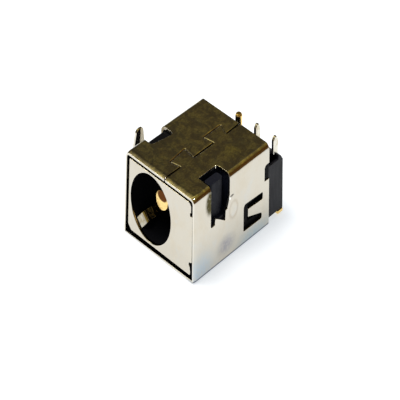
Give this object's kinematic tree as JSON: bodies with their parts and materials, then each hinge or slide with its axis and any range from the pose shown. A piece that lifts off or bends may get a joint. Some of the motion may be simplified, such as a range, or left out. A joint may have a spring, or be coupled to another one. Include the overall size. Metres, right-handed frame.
{
  "type": "dc barrel jack",
  "caption": "Shielded dc power jack with a round socket, a gilt centre pin and solder tails, for a board cut-out.",
  "frame": {"origin": "on the plug's axis, in the plane of the shield's front rim", "axes": "-Y out of the mouth along the plug's axis, +Z towards the solder tails' tips, +X to the right seen from the mouth"},
  "size_m": [0.013, 0.0152, 0.008],
  "materials": {
    "shield": "bright nickel on thin steel sheet",
    "front_plate": "bright nickel on thin steel sheet",
    "housing": "black glass-filled moulding",
    "centre_pin": "gilt",
    "centre_terminal": "gilt",
    "left_spring": "tinned",
    "right_spring": "tinned"
  },
  "bodies": {
    "root": {"shield": "shield", "front_plate": "front_plate", "housing": "housing", "centre_pin": "centre_pin", "centre_terminal": "centre_terminal", "left_spring": "left_spring", "right_spring": "right_spring"}
  },
  "joints": []
}
